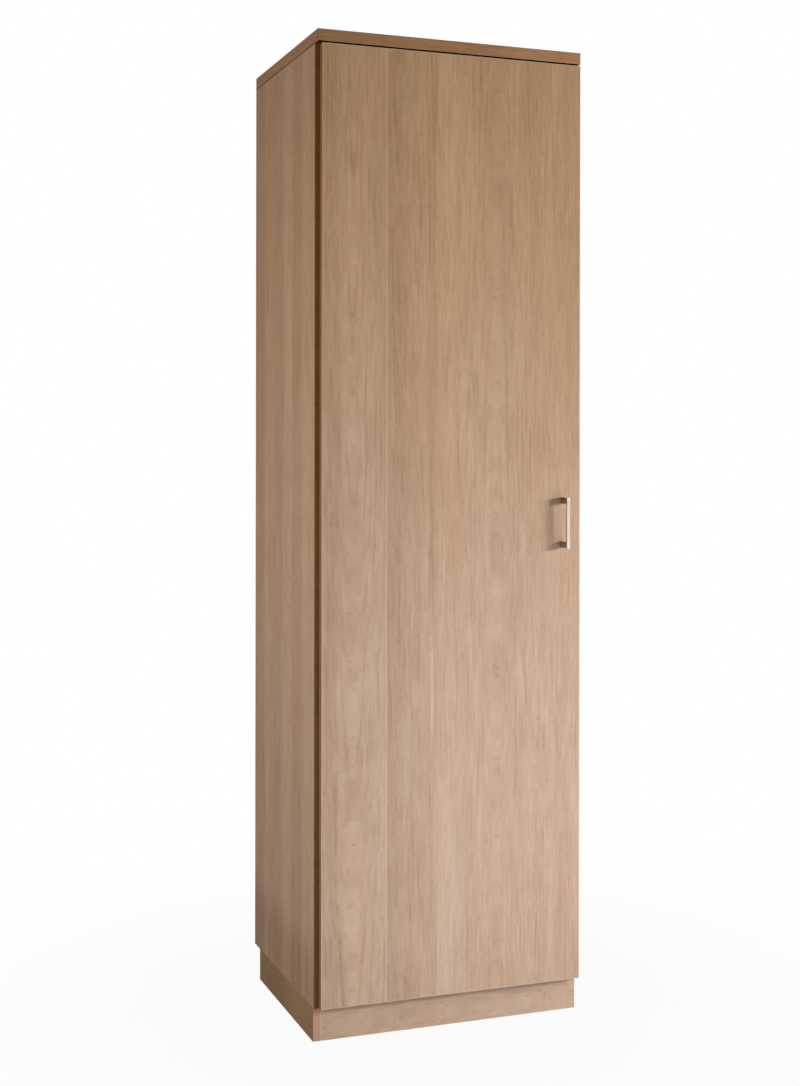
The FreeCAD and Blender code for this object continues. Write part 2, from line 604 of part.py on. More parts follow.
# The handle is measured from its middle on the door's face: a flat U in side view.
handle = new_body("handle", (HANDLE_X, DOOR_FACE, HANDLE_Z), own_frame=True)
HANDLE_END = "(Sizes.handle_centres + Sizes.handle_leg) / 2"
HANDLE_GRIP = "(Sizes.handle_centres - Sizes.handle_leg) / 2"
GRIP_FACE = "-(Sizes.handle_reach - Sizes.handle_bar)"
side_view = [
    ("0", f"-{HANDLE_END}"),
    ("-Sizes.handle_reach", f"-{HANDLE_END}"),
    ("-Sizes.handle_reach", HANDLE_END),
    ("0", HANDLE_END),
    ("0", HANDLE_GRIP),
    (GRIP_FACE, HANDLE_GRIP),
    (GRIP_FACE, f"-{HANDLE_GRIP}"),
    ("0", f"-{HANDLE_GRIP}"),
]
handle_side = "-Sizes.handle_width / 2"
pad(handle, "bow", "YZ_Plane", handle_side, 1, "Sizes.handle_width", [side_view])
handle_front = -number("Sizes.handle_reach") + NEAR
handle_tip = number(HANDLE_END) - NEAR
round_edges(
    handle,
    "corners",
    "Sizes.handle_corner",
    lambda box: box.YMax < handle_front and abs(box.Center.z) > handle_tip,
)
handle_threads = [
    (("0", f"{sign}Sizes.handle_centres / 2"), "Sizes.handle_screw + 2 * Sizes.fit_play")
    for sign in ("", "-")
]
HANDLE_HOLE_DEPTH = "Sizes.handle_screw_bite + Sizes.fit_play"
pocket(handle, "threads", "XZ_Plane", "0", -1, HANDLE_HOLE_DEPTH, circles=handle_threads)
round_edges(
    handle,
    "edges",
    "Sizes.handle_edge",
    lambda box: box.XLength < NEAR < box.YLength + box.ZLength and box.YMin < -NEAR,
)
nodes.append(handle)

# ---------------------------------------------------------------- screws, cams, dowels


def cross_recess(body, span, depth):
    """A cross slot for a screwdriver, sunk in the face at the piece's own origin."""
    long_half, short_half = f"{span} / 2", f"{span} / 10"
    for name, u, v in (("level", long_half, short_half), ("upright", short_half, long_half)):
        arm = rectangle((f"-{u}", f"-{v}"), (u, v))
        pocket(body, f"cross_{name}", "XY_Plane", "0", 1, depth, [arm])


def pan_screw(name, shank, length):
    """A pan-head screw, its driven face at the origin and its shank running along +Z."""
    profile = [
        ("0", "0"),
        ("Sizes.screw_crown / 2", "0"),
        ("Sizes.screw_head / 2", "Sizes.screw_head_height / 2"),
        ("Sizes.screw_head / 2", "Sizes.screw_head_height"),
        (f"{shank} / 2", "Sizes.screw_head_height"),
        (f"{shank} / 2", f"Sizes.screw_head_height + {length} - {shank} / 2"),
        (f"{shank} / 4", f"Sizes.screw_head_height + {length}"),
        ("0", f"Sizes.screw_head_height + {length}"),
    ]
    screw = turned(name, profile)
    cross_recess(screw, "Sizes.screw_cross", "Sizes.screw_cross_depth")
    return screw


handle_screw = pan_screw(
    "handle_screw", "Sizes.handle_screw", "(Sizes.door_board + Sizes.handle_screw_bite)"
)
handle_screws = []
HEAD_BEHIND_DOOR = f"{DOOR_BACK} + Sizes.screw_head_height"
for index, z in enumerate(HANDLE_SCREW_Z):
    place = (HANDLE_X, HEAD_BEHIND_DOOR, z)
    handle_screws.append(copy_of(handle_screw, f"handle_screw_{index}", place, along("-y")))
group("handle_screws", handle_screws)

# A cam is bored upwards, or outwards, from the board's face, with its slot towards the end.
cam = new_body("cam", ("0", "0", "0"), own_frame=True)
cam_circle = [(("0", "0"), "Sizes.cam_diameter")]
pad(cam, "disc", "XY_Plane", "0", 1, "Sizes.cam_depth", circles=cam_circle)
slot_half = "Sizes.cam_slot / 2"
slot_outline = rectangle(
    (f"-{slot_half}", f"{MIDDLE} - {slot_half}"),
    ("Sizes.cam_diameter", f"{MIDDLE} + {slot_half}"),
)
pocket(cam, "slot", "XZ_Plane", f"-{slot_half}", 1, "Sizes.cam_slot", [slot_outline])
cross_recess(cam, "Sizes.cam_slot", "Sizes.cam_slot / 5")

BOLT_HEAD = "(Sizes.bolt_seat + Sizes.cam_setback)"
bolt_profile = [
    ("0", "0"),
    ("Sizes.bolt_thread / 2", "0"),
    ("Sizes.bolt_thread / 2", "Sizes.bolt_seat"),
    ("Sizes.bolt_shaft / 2", "Sizes.bolt_seat"),
    ("Sizes.bolt_shaft / 2", f"{BOLT_HEAD} - Sizes.cam_slot"),
    ("Sizes.bolt_neck / 2", f"{BOLT_HEAD} - Sizes.cam_slot"),
    ("Sizes.bolt_neck / 2", f"{BOLT_HEAD} - Sizes.bolt_neck"),
    ("Sizes.bolt_shaft / 2", f"{BOLT_HEAD} - Sizes.bolt_neck"),
    ("Sizes.bolt_shaft / 2", f"{BOLT_HEAD} - Sizes.bolt_neck / 4"),
    ("0", f"{BOLT_HEAD} - Sizes.bolt_neck / 4"),
]
cam_bolt = turned("cam_bolt", bolt_profile)
DOWEL_END = "(Sizes.dowel_diameter / 8)"
dowel_profile = [
    ("0", "0"),
    (f"Sizes.dowel_diameter / 2 - {DOWEL_END}", "0"),
    ("Sizes.dowel_diameter / 2", DOWEL_END),
    ("Sizes.dowel_diameter / 2", f"Sizes.dowel_length - {DOWEL_END}"),
    (f"Sizes.dowel_diameter / 2 - {DOWEL_END}", "Sizes.dowel_length"),
    ("0", "Sizes.dowel_length"),
]
dowel = turned("dowel", dowel_profile)

cams, bolts, dowels = [], [], []
for side, inner_x, outer_sign, inwards in (
    ("left", INNER_LEFT, "-", "+"),
    ("right", INNER_RIGHT, "+", "-"),
):
    outer_axis = DIRECTIONS[f"{outer_sign}x"]
    axis_in = along(f"{inwards}x")
    for level, (under, middle) in enumerate(zip((PLINTH_TOP, SHELF_UNDER), LEVELS)):
        for row, (cam_y, dowel_y) in enumerate(zip(CAM_Y, DOWEL_Y)):
            tag = f"{side}_{level}_{row}"
            slot_to_end = FreeCAD.Rotation(outer_axis, FreeCAD.Vector(), UP, "ZXY")
            place = (f"{inner_x} {inwards} Sizes.cam_setback", cam_y, under)
            cams.append(copy_of(cam, f"cam_{tag}", place, slot_to_end))
            place = (f"{inner_x} {outer_sign} Sizes.bolt_seat", cam_y, middle)
            bolts.append(copy_of(cam_bolt, f"bolt_{tag}", place, axis_in))
            place = (f"{inner_x} {outer_sign} Sizes.dowel_seat", dowel_y, middle)
            dowels.append(copy_of(dowel, f"dowel_{tag}", place, axis_in))
    middle_x = f"{inner_x} {outer_sign} {MIDDLE}"
    for row, (cam_y, dowel_y) in enumerate(zip(CAM_Y, DOWEL_Y)):
        tag = f"{side}_top_{row}"
        slot_up = FreeCAD.Rotation(UP, FreeCAD.Vector(), outer_axis, "ZXY")
        place = (inner_x, cam_y, f"{TOP_UNDER} - Sizes.cam_setback")
        cams.append(copy_of(cam, f"cam_{tag}", place, slot_up))
        place = (middle_x, cam_y, f"{TOP_UNDER} + Sizes.bolt_seat")
        bolts.append(copy_of(cam_bolt, f"bolt_{tag}", place, along("-z")))
        place = (middle_x, dowel_y, f"{TOP_UNDER} + Sizes.dowel_seat")
        dowels.append(copy_of(dowel, f"dowel_{tag}", place, along("-z")))
group("cam_locks", cams)
group("cam_bolts", bolts)
group("dowels", dowels)

bumper_profile = [
    ("0", "0"),
    ("Sizes.bumper_diameter / 2", "0"),
    ("Sizes.bumper_diameter / 2", "Sizes.bumper_height / 3"),
    ("Sizes.bumper_diameter / 3", "Sizes.bumper_height"),
    ("0", "Sizes.bumper_height"),
]
bumper = turned("door_bumper", bumper_profile)
bumpers = []
for index, z in enumerate((f"{DOOR_LOW} + Sizes.bumper_end", f"{DOOR_HIGH} - Sizes.bumper_end")):
    place = (f"{RIGHT} - {MIDDLE}", FRONT, z)
    bumpers.append(copy_of(bumper, f"door_bumper_{index}", place, along("-y")))
group("door_bumpers", bumpers)

# ---------------------------------------------------------------- hinges

# Each hinge is measured from its cup's axis at the door's back, with the door shut.
SEAT = "(Sizes.board - Sizes.door_inset - Sizes.cup_inset)"
WEB_FACE = f"({SEAT} + Sizes.arm_height)"
WEB_INSIDE = f"({WEB_FACE} - Sizes.arm_web)"
CHEEK_FOOT = f"({SEAT} + Sizes.arm_clearance)"
ARM_END = "(Sizes.door_gap + Sizes.arm_length)"
SHOULDER = "(Sizes.door_gap + Sizes.arm_shoulder)"
CHANNEL_HALF = "(Sizes.link_width / 2 + Sizes.link_play)"
ARM_HALF = f"({CHANNEL_HALF} + Sizes.cheek)"
NOSE = "Sizes.nose_radius"
NOSE_TOP = f"(Sizes.outer_arm_y + {NOSE})"
KNEE = f"({NOSE_TOP} + Sizes.arm_slope)"
PLATE_Y = "(Sizes.door_gap + Sizes.plate_inset)"
PLATE_FACE = f"({SEAT} + Sizes.plate_thickness)"
RAIL_TOP = f"({WEB_INSIDE} - Sizes.rail_play)"
RAIL_FRONT = "(Sizes.door_gap + Sizes.rail_front)"
ADJUSTER_Y = f"({SHOULDER} + Sizes.screw_head)"
CLAMP_Y = f"({ADJUSTER_Y} + Sizes.arm_screw_spacing)"
CUP_RADIUS = "(Sizes.cup_diameter / 2)"
CUP_BORE = f"({CUP_RADIUS} - Sizes.cup_wall)"
EAR_INSIDE = f"(sqrt({CUP_BORE} ^ 2 - Sizes.outer_cup_x ^ 2) + Sizes.link_play)"
EAR_OUTSIDE = f"({EAR_INSIDE} + Sizes.ear_thickness)"
PIN_HOLE = "Sizes.pin + 2 * Sizes.pin_play"
PLATE_SCREW_HOLE = "Sizes.plate_screw + 2 * Sizes.fit_play"
OUTER_ARM = ("Sizes.outer_arm_x", "Sizes.outer_arm_y")
INNER_ARM = ("Sizes.inner_arm_x", "Sizes.inner_arm_y")
OUTER_CUP = ("Sizes.outer_cup_x", "Sizes.outer_cup_y")
INNER_CUP = ("Sizes.inner_cup_x", "Sizes.inner_cup_y")


def hinge_cup(name, place):
    """The drawn steel cup: wall, flange with two screw holes, and ears for the outer pin."""
    cup = new_body(name, place, own_frame=True)
    outside = [(("0", "0"), "Sizes.cup_diameter")]
    pad(cup, "bowl", "XZ_Plane", "0", -1, "Sizes.cup_depth", circles=outside)
    rim = [(("0", "0"), "Sizes.cup_diameter + 2 * Sizes.flange_rim")]
    pad(cup, "rim", "XZ_Plane", "0", 1, "Sizes.flange", circles=rim)
    wing = rectangle(
        ("0", "-Sizes.flange_length / 2"), ("Sizes.flange_reach", "Sizes.flange_length / 2")
    )
    pad(cup, "wing", "XZ_Plane", "0", 1, "Sizes.flange", [wing])
    ears = []
    for inside, outside_z in ((EAR_INSIDE, EAR_OUTSIDE), (f"-{EAR_OUTSIDE}", f"-{EAR_INSIDE}")):
        low = ("Sizes.outer_cup_x - Sizes.ear_width / 2", inside)
        high = ("Sizes.outer_cup_x + Sizes.ear_width / 2", outside_z)
        ears.append(rectangle(low, high))
    pad(cup, "ears", "XZ_Plane", "0", 1, "Sizes.ear_height", ears)
    inside = [(("0", "0"), f"2 * {CUP_BORE}")]
    depth = "Sizes.flange + Sizes.cup_depth - Sizes.cup_wall"
    pocket(cup, "bore", "XZ_Plane", "Sizes.flange", -1, depth, circles=inside)
    # The rim is left open where the outer link passes over it with the door wide open.
    rim_edge = f"-({CUP_RADIUS} + Sizes.flange_rim)"
    opening = [rectangle((rim_edge, "0"), ("Sizes.outer_cup_x", "Sizes.flange"))]
    pocket(cup, "link_gap", "XY_Plane", f"-{CHANNEL_HALF}", 1, f"2 * {CHANNEL_HALF}", opening)
    screw_hole = "Sizes.cup_screw + 2 * Sizes.fit_play"
    screws = [
        (("Sizes.cup_screw_offset", f"{sign}Sizes.cup_screw_spacing / 2"), screw_hole)
        for sign in ("", "-")
    ]
    pocket(cup, "screw_holes", "XZ_Plane", "Sizes.flange", -1, "Sizes.flange", circles=screws)
    pins = [(OUTER_CUP, PIN_HOLE), (INNER_CUP, "Sizes.loose_pin + 2 * Sizes.pin_play")]
    pocket(cup, "pin_holes", "XY_Plane", f"-{CUP_RADIUS}", 1, "Sizes.cup_diameter", circles=pins)
    wing_edge = number("Sizes.flange_reach") - NEAR
    wing_end = number("Sizes.flange_length / 2") - NEAR
    round_edges(
        cup,
        "wing_corners",
        "Sizes.flange_corner",
        lambda box: box.XMin > wing_edge and abs(box.Center.z) > wing_end,
    )
    nodes.append(cup)


def hinge_arm(name, place):
    """The cranked channel-section arm: a nose that carries both pins, and a web above the plate."""
    arm = new_body(name, place, own_frame=True)
    low_y = f"Sizes.inner_arm_y - {NOSE}"
    left_x = f"Sizes.inner_arm_x - {NOSE}"
    side_view = [
        (left_x, low_y),
        (f"Sizes.inner_arm_x + {NOSE}", low_y),
        (f"Sizes.outer_arm_x + {NOSE}", KNEE),
        (WEB_FACE, SHOULDER),
        (WEB_FACE, ARM_END),
        (CHEEK_FOOT, ARM_END),
        (CHEEK_FOOT, SHOULDER),
        (f"Sizes.outer_arm_x - {NOSE}", NOSE_TOP),
    ]
    pad(arm, "cheeks", "XY_Plane", f"-{ARM_HALF}", 1, f"2 * {ARM_HALF}", [side_view])
    beyond = "Sizes.cheek"
    channel = [
        (f"{left_x} - {beyond}", f"{low_y} - {beyond}"),
        (f"Sizes.outer_arm_x + {NOSE} + {beyond}", f"{low_y} - {beyond}"),
        (f"Sizes.outer_arm_x + {NOSE} + {beyond}", NOSE_TOP),
        (f"Sizes.outer_arm_x + {NOSE} - Sizes.arm_web", NOSE_TOP),
        (f"Sizes.outer_arm_x + {NOSE} - Sizes.arm_web", f"{KNEE} - Sizes.arm_web / 2"),
        (WEB_INSIDE, f"{SHOULDER} - Sizes.arm_web / 2"),
        (WEB_INSIDE, f"{ARM_END} + {beyond}"),
        (SEAT, f"{ARM_END} + {beyond}"),
        (SEAT, NOSE_TOP),
    ]
    pocket(arm, "channel", "XY_Plane", f"-{CHANNEL_HALF}", 1, f"2 * {CHANNEL_HALF}", [channel])
    pins = [(OUTER_ARM, PIN_HOLE), (INNER_ARM, PIN_HOLE)]
    pocket(arm, "pin_holes", "XY_Plane", f"-{ARM_HALF}", 1, f"2 * {ARM_HALF}", circles=pins)
    screws = [((y, "0"), "Sizes.arm_screw + 2 * Sizes.fit_play") for y in (ADJUSTER_Y, CLAMP_Y)]
    pocket(arm, "screw_holes", "YZ_Plane", WEB_FACE, -1, "Sizes.arm_web", circles=screws)
    nose_end = number(low_y) + NEAR
    round_edges(arm, "nose", f"{NOSE} * 0.9", lambda box: box.YMax < nose_end and box.ZLength > NEAR)
    nodes.append(arm)


def mounting_plate(name, place):
    """The plate on the side panel: two wings for its screws, and the rail inside the arm."""
    plate = new_body(name, place, own_frame=True)
    half_wing = "Sizes.plate_width / 2"
    wings = rectangle(
        (f"{PLATE_Y} - {half_wing}", "-Sizes.plate_length / 2"),
        (f"{PLATE_Y} + {half_wing}", "Sizes.plate_length / 2"),
    )
    pad(plate, "wings", "YZ_Plane", SEAT, 1, "Sizes.plate_thickness", [wings])
    rail_half = f"({CHANNEL_HALF} - Sizes.rail_play)"
    rail = rectangle((RAIL_FRONT, f"-{rail_half}"), (ARM_END, rail_half))
    pad(plate, "rail", "YZ_Plane", SEAT, 1, f"{RAIL_TOP} - {SEAT}", [rail])
    screws = [
        ((PLATE_Y, f"{sign}Sizes.plate_screw_spacing / 2"), PLATE_SCREW_HOLE) for sign in ("", "-")
    ]
    pocket(plate, "holes", "YZ_Plane", PLATE_FACE, -1, "Sizes.plate_thickness", circles=screws)
    threads = [((y, "0"), "Sizes.arm_screw + 2 * Sizes.fit_play") for y in (ADJUSTER_Y, CLAMP_Y)]
    depth = "Sizes.arm_screw_length + Sizes.fit_play"
    pocket(plate, "threads", "YZ_Plane", RAIL_TOP, -1, depth, circles=threads)
    wing_end = number("Sizes.plate_length / 2") - NEAR
    corner = "Sizes.plate_width / 3"
    round_edges(
        plate, "wing_ends", corner, lambda box: abs(box.Center.z) > wing_end and box.XLength > NEAR
    )
    nodes.append(plate)


def link(name, hinge_place, start, end, far_centre, far_radius, far_bore):
    """A link between two pivots, measured from its pivot on the arm and turned to meet the cup."""
    place = tuple(f"{base} + {shift}" for base, shift in zip(hinge_place, (*start, "0")))
    body = new_body(name, place, own_frame=True)
    angle = f"atan2({end[1]} - {start[1]}; {end[0]} - {start[0]})"
    body.Placement = FreeCAD.Placement(body.Placement.Base, FreeCAD.Rotation(UP, number(angle)))
    body.setExpression("Placement.Rotation.Angle", angle)
    half = "Sizes.link_thickness / 2"
    bottom = "-Sizes.link_width / 2"
    far_x, far_y = far_centre
    far_low, far_high = (far_x, f"{far_y} - {half}"), (far_x, f"{far_y} + {half}")
    parts = (
        ("eye", [], [(("0", "0"), "Sizes.link_thickness")]),
        ("bar", [[("0", f"-{half}"), far_low, far_high, ("0", half)]], []),
        ("far_eye", [], [(far_centre, f"2 * ({far_radius})")]),
    )
    for part, outlines, circles in parts:
        pad(body, part, "XY_Plane", bottom, 1, "Sizes.link_width", outlines, circles)
    holes = [(("0", "0"), PIN_HOLE), (far_centre, far_bore)]
    pocket(body, "holes", "XY_Plane", bottom, 1, "Sizes.link_width", circles=holes)
    nodes.append(body)


def spacing(start, end):
    """The distance between two pivots."""
    return f"sqrt(({end[0]} - {start[0]}) ^ 2 + ({end[1]} - {start[1]}) ^ 2)"


def pivot_pin(name, pivot, diameter, half_length, place):
    """A plain pin through a pivot."""
    pin = doc.addObject("Part::Cylinder", name)
    pin.setExpression("Radius", f"{diameter} / 2")
    pin.setExpression("Height", f"2 * ({half_length})")
    for axis, base, shift in zip("xyz", place, (*pivot, f"-({half_length})")):
        pin.setExpression(f"Placement.Base.{axis}", f"{base} + {shift}")
    return pin


cup_screw = pan_screw(
    "cup_screw", "Sizes.cup_screw", "(Sizes.flange + Sizes.cup_screw_length)"
)
plate_screw = pan_screw(
    "plate_screw", "Sizes.plate_screw", "(Sizes.plate_thickness + Sizes.plate_screw_length)"
)
arm_screw = pan_screw(
    "arm_screw",
    "Sizes.arm_screw",
    "(Sizes.arm_web + Sizes.rail_play + Sizes.arm_screw_length)",
)
arm_pins, cup_pins, cup_screws, plate_screws, arm_screws = [], [], [], [], []
for count, z in enumerate(HINGE_Z, start=1):
    label = f"hinge_{count}"
    place = (CUP_X, DOOR_BACK, z)
    hinge_cup(f"{label}_cup", place)
    hinge_arm(f"{label}_arm", place)
    mounting_plate(f"{label}_plate", place)
    link(
        f"{label}_outer_link",
        place,
        OUTER_ARM,
        OUTER_CUP,
        (spacing(OUTER_ARM, OUTER_CUP), "0"),
        "Sizes.link_thickness / 2",
        PIN_HOLE,
    )
    link(
        f"{label}_inner_link",
        place,
        INNER_ARM,
        INNER_CUP,
        (f"({spacing(INNER_ARM, INNER_CUP)} + Sizes.eye_shift_along)", "Sizes.eye_shift_across"),
        "Sizes.eye_bore / 2 + Sizes.eye_wall",
        "Sizes.eye_bore",
    )
    for key, pivot in (("upper", OUTER_ARM), ("lower", INNER_ARM)):
        arm_pins.append(pivot_pin(f"{label}_{key}_pin", pivot, "Sizes.pin", ARM_HALF, place))
    cup_pins.append(
        pivot_pin(f"{label}_ear_pin", OUTER_CUP, "Sizes.pin", f"{EAR_OUTSIDE}", place)
    )
    loose_half = f"sqrt({CUP_RADIUS} ^ 2 - Sizes.inner_cup_x ^ 2) - Sizes.cup_wall / 2"
    cup_pins.append(
        pivot_pin(f"{label}_loose_pin", INNER_CUP, "Sizes.loose_pin", loose_half, place)
    )
    for key, sign in (("high", "+"), ("low", "-")):
        screw_place = (
            CUP_SCREW_X,
            f"{DOOR_BACK} + Sizes.flange + Sizes.screw_head_height",
            f"{z} {sign} Sizes.cup_screw_spacing / 2",
        )
        cup_screws.append(copy_of(cup_screw, f"{label}_cup_screw_{key}", screw_place, along("-y")))
        screw_place = (
            f"{INNER_LEFT} + Sizes.plate_thickness + Sizes.screw_head_height",
            f"{DOOR_BACK} + {PLATE_Y}",
            f"{z} {sign} Sizes.plate_screw_spacing / 2",
        )
        plate_screws.append(
            copy_of(plate_screw, f"{label}_plate_screw_{key}", screw_place, along("-x"))
        )
    for key, screw_y in (("adjuster", ADJUSTER_Y), ("clamp", CLAMP_Y)):
        screw_place = (
            f"{CUP_X} + {WEB_FACE} + Sizes.screw_head_height",
            f"{DOOR_BACK} + {screw_y}",
            z,
        )
        arm_screws.append(copy_of(arm_screw, f"{label}_{key}", screw_place, along("-x")))
group("hinge_arm_pins", arm_pins)
group("hinge_cup_pins", cup_pins)
group("hinge_cup_screws", cup_screws)
group("hinge_plate_screws", plate_screws)
group("hinge_arm_screws", arm_screws)

# The plate screws bite in the left side panel.
plate_holes = []
for z in HINGE_Z:
    for sign in "+-":
        centre = (f"{DOOR_BACK} + {PLATE_Y}", f"{z} {sign} Sizes.plate_screw_spacing / 2")
        plate_holes.append((centre, PLATE_SCREW_HOLE))
PLATE_HOLE_DEPTH = "Sizes.plate_screw_length + Sizes.fit_play"
pocket(left_panel, "plates", "YZ_Plane", INNER_LEFT, -1, PLATE_HOLE_DEPTH, circles=plate_holes)

# ---------------------------------------------------------------- checks and files

doc.recompute()
for item in doc.Objects:
    if {"Invalid", "Error"} & set(item.State):
        raise RuntimeError(f"{item.Name} failed: {item.State}")
for item in nodes:
    if item.Shape.isNull() or not item.Shape.isValid():
        raise RuntimeError(f"{item.Name} has no valid shape")

os.makedirs("parts", exist_ok=True)
for item in nodes:
    item.Shape.exportStep(f"parts/{item.Label}.step")
print(len(nodes), "nodes,", sum(len(item.Shape.Solids) for item in nodes), "solids")
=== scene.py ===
import math
from dataclasses import dataclass
from operator import attrgetter

import bpy
from mathutils import Euler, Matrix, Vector


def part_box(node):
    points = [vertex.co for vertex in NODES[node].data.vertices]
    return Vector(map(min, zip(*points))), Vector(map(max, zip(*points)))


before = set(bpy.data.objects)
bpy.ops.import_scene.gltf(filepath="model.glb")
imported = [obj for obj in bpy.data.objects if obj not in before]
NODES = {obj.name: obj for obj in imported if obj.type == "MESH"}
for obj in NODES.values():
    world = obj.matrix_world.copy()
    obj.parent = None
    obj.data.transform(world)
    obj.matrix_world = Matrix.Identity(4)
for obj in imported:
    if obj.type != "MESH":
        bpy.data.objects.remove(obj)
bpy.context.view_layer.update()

# A tall broom cupboard in oak-look laminate: the finishes of its pieces, the studio and the
# camera. Metres, +X to the right, +Y to the back, +Z up, as in the frame.

BOX = {name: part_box(name) for name in NODES}
DOOR_FRONT = BOX["door_panel"][0][1]
TOP_LOW, TOP_HIGH = BOX["top_panel"]
PLINTH_CORNER = BOX["plinth_side_left"][0]
MM = 0.001


def srgb(red, green, blue):
    """A colour given in 8-bit screen values, as the linear colour that a shader takes."""
    linear = []
    for part in (red, green, blue):
        part /= 255
        linear.append(part / 12.92 if part <= 0.04045 else ((part + 0.055) / 1.055) ** 2.4)
    return (*linear, 1.0)


# ---------------------------------------------------------------- shader maths

BUMP_STRENGTH = 0.3
TRIM_FULL = 0.6  # the share of its reach over which a trim is whole


class Value:
    """A number or colour in a shader: Python's operators on a number add Math nodes."""

    def __init__(self, nodes, socket):
        self.nodes = nodes
        self.socket = socket

    def maths(self, operation, *others):
        """A Math node on this value and perhaps others."""
        inputs = dict(enumerate((self, *others)))
        return self.nodes.node("ShaderNodeMath", {"operation": operation}, inputs)

    def __add__(self, other):
        return self.maths("ADD", other)

    def __radd__(self, other):
        return self.maths("ADD", other)

    def __sub__(self, other):
        return self.maths("SUBTRACT", other)

    def __rsub__(self, other):
        return (self * -1).maths("ADD", other)

    def __mul__(self, other):
        return self.maths("MULTIPLY", other)

    def __rmul__(self, other):
        return self.maths("MULTIPLY", other)

    def __pow__(self, other):
        return self.maths("POWER", other)


class Nodes:
    """A node tree, filled from Python expressions."""

    def __init__(self, tree):
        self.tree = tree
        tree.nodes.clear()

    def put(self, socket, item):
        """Set a socket to a number or colour, or link it to another node's value."""
        if isinstance(item, Value):
            self.tree.links.new(item.socket, socket)
        else:
            socket.default_value = item

    def node(self, kind, settings=(), inputs=(), output=0):
        """Any node: its settings first, then the values or links of its sockets."""
        new = self.tree.nodes.new(kind)
        for key, item in dict(settings).items():
            setattr(new, key, item)
        for key, item in dict(inputs).items():
            self.put(new.inputs[key], item)
        return Value(self, new.outputs[output] if new.outputs else None)

    def mapped(self, value, low, high, out_low=0.0, out_high=1.0):
        """A value eased from one range to another, and held at its ends."""
        keys = ("Value", "From Min", "From Max", "To Min", "To Max")
        inputs = dict(zip(keys, (value, low, high, out_low, out_high)))
        return self.node("ShaderNodeMapRange", {"interpolation_type": "SMOOTHSTEP"}, inputs)

    def mix(self, factor, first, second, blend="MIX"):
        """Two colours mixed by a factor."""
        settings = {"data_type": "RGBA", "blend_type": blend}
        return self.node("ShaderNodeMix", settings, {0: factor, 6: first, 7: second}, output=2)

    def seen(self):
        """1 where the eye, a reflection or glass looks at the surface, and 0 for its light."""
        eye, reflection, glass = (
            self.node("ShaderNodeLightPath", output=name)
            for name in ("Is Camera Ray", "Is Glossy Ray", "Is Transmission Ray")
        )
        return eye.maths("MAXIMUM", reflection).maths("MAXIMUM", glass)


@dataclass
class Plane:
    """A plane square to one axis, and how far from it a trim reaches."""

    axis: str
    place: float
    reach: float


@dataclass
class Trim:
    """A strip with a look of its own, where a face is close to every one of some planes."""

    look: object  # a colour, or a function that draws a pattern
    planes: list


class Paint(Nodes):
    """A piece's material, laid out on the piece's own coordinates in metres."""

    def __init__(self, name):
        self.material = bpy.data.materials.new(name)
        self.material.use_nodes = True
        super().__init__(self.material.node_tree)
        spot = self.node("ShaderNodeTexCoord", output="Object")
        self.x, self.y, self.z = (
            self.node("ShaderNodeSeparateXYZ", {}, {0: spot}, output=axis) for axis in "XYZ"
        )

    def noise(self, x, y, z, detail=2.0, roughness=0.5):
        """Smooth noise of about -1 to 1, one wave to each unit of x, y and z."""
        spot = self.node("ShaderNodeCombineXYZ", {}, {"X": x, "Y": y, "Z": z})
        inputs = {"Vector": spot, "Scale": 1.0, "Detail": detail, "Roughness": roughness}
        return self.node("ShaderNodeTexNoise", {}, inputs) * 2.0 - 1.0

    def grit(self, waves, **settings):
        """Noise with so many waves to a metre on x, y and z."""
        x, y, z = waves
        return self.noise(self.x * x, self.y * y, self.z * z, **settings)

    def bump(self, height, depth):
        """The surface's normal over a relief of some depth."""
        inputs = {"Strength": BUMP_STRENGTH, "Distance": depth, "Height": height}
        return self.node("ShaderNodeBump", {}, inputs)

    def trimmed(self, colour, trim):
        """A colour with a trim laid over it."""
        mask = 1.0
        for plane in trim.planes:
            away = (getattr(self, plane.axis) - plane.place).maths("ABSOLUTE")
            mask = self.mapped(away, plane.reach * TRIM_FULL, plane.reach, 1.0, 0.0) * mask
        look = trim.look(self) if callable(trim.look) else trim.look
        return self.mix(mask, colour, look)

    def surface(self, **inputs):
        """The finished material. The shader's sockets are named with underscores for spaces."""
        sockets = {key.replace("_", " "): item for key, item in inputs.items()}
        shader = self.node("ShaderNodeBsdfPrincipled", {}, sockets)
        self.node("ShaderNodeOutputMaterial", {}, {"Surface": shader})
        return self.material


def dress(material, *names):
    """Give a finish to whole nodes."""
    for name in names:
        slots = NODES[name].data.materials
        slots.clear()
        slots.append(material)


# ---------------------------------------------------------------- wood


@dataclass
class Log:
    """The log that a plank is cut from."""

    heart: float  # where its heart runs, across the grain: the line that the arches stand on
    cut: float  # how far below the face the heart lies, at the origin
    slope: float  # how fast that depth grows along the grain
    core: float = 0.0  # how much lighter the wood is beside the heart


@dataclass
class Plank:
    """One plank of the printed sheet, from its start across the grain to the next plank's."""

    start: float
    tone: float  # lighter above 0, darker below
    log: Log
    blur: float = 4 * MM  # how softly its start shows


@dataclass
class Fleck:
    """One long lens-shaped mark in the printed sheet, or a wide soft patch of painted shade."""

    across: float  # its middle across the grain
    along: float  # its middle along the grain
    half_width: float
    half_length: float
    tone: float  # lighter above 0, darker below


@dataclass
class Layer:
    """One layer of the printed grain: noise that the growth rings draw out along the wood."""

    rings: float  # waves to a metre across the rings
    along: float  # waves to a metre along the wood
    share: float = 0.0  # how far it lightens the sheet, or darkens it below 0
    around: float = 1.0  # how finely it changes round the log
    shift: tuple = (0, 1)  # how many seeds it is moved by, across the rings and along the wood
    crest: tuple = ()  # for drawn marks: the noise where they start, and where they are full


